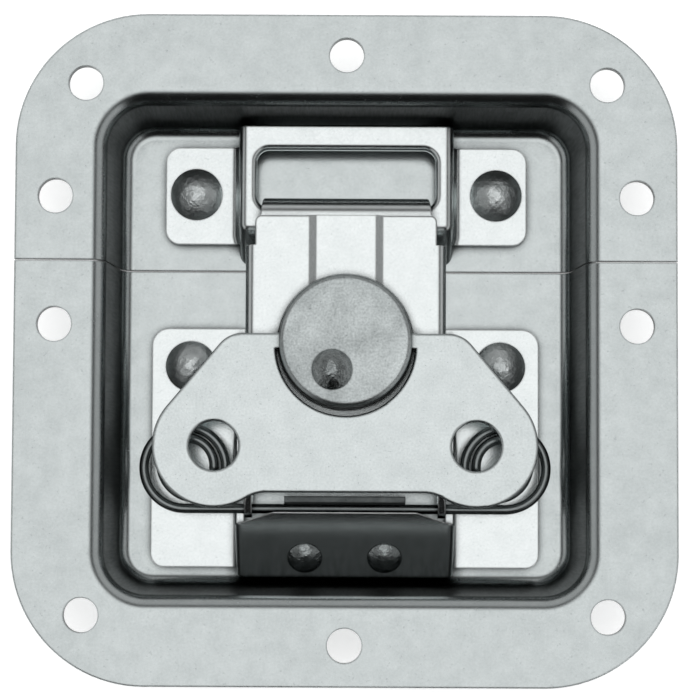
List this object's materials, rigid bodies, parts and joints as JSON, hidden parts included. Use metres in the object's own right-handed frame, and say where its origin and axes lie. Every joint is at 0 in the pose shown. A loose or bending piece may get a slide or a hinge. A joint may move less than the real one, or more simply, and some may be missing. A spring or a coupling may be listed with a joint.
{
  "type": "butterfly case latch",
  "caption": "Recessed butterfly twist latch for a road case: split pressed dish, keeper, sprung carrier, crank-driven hook and a fold-flat wing handle on a turning drum.",
  "frame": {"origin": "centre of the four corner holes, on the back of the dish's flange", "axes": "+X to the right, +Y from the case half towards the lid half, +Z out of the case face"},
  "size_m": [0.102, 0.1036, 0.0173],
  "materials": {
    "dish_steel": "zinc plated, satin",
    "bright_plate": "bright zinc plated",
    "handle_plate": "bright zinc plated, lightly scratched",
    "cast_drum": "cast zinc, matt and grainy",
    "spring_wire": "drawn spring wire",
    "rivet_steel": "polished dome"
  },
  "bodies": {
    "dish": {"dish_upper": "dish_steel", "dish_lower": "dish_steel", "keeper": "bright_plate", "keeper_rivet_left": "rivet_steel", "keeper_rivet_right": "rivet_steel", "base_plate": "bright_plate", "base_rivet_left": "rivet_steel", "base_rivet_right": "rivet_steel", "hinge_saddle": "bright_plate", "saddle_rivet_left": "rivet_steel", "saddle_rivet_right": "rivet_steel", "hinge_spring": "spring_wire"},
    "carrier": {"carrier": "bright_plate"},
    "drum": {"drum": "cast_drum", "crank_rivet": "rivet_steel", "crank_washer": "rivet_steel"},
    "hook": {"hook_plate": "bright_plate"},
    "handle": {"handle": "handle_plate"}
  },
  "joints": [
    {"name": "body_tilt", "type": "hinge", "parent": "dish", "child": "carrier", "pos_m": [0, -0.0246, -0.0062], "axis": [1, 0, 0], "range_deg": [0, 60]},
    {"name": "hub_turn", "type": "hinge", "parent": "carrier", "child": "drum", "pos_m": [0, 0.0013, 0], "axis": [0, 0, 1], "range_deg": [0, 180]},
    {"name": "hook_slide", "type": "slide", "parent": "carrier", "child": "hook", "axis": [0, 1, 0], "range_m": [0, 0.0064]},
    {"name": "handle_flip", "type": "hinge", "parent": "drum", "child": "handle", "pos_m": [0, 0.0013, -0.00115], "axis": [-1, 0, 0], "range_deg": [0, 90]}
  ],
  "couplings": [
    {"joint": "hook_slide", "follows": "hub_turn", "m_per_rad": 0.0020054}
  ]
}
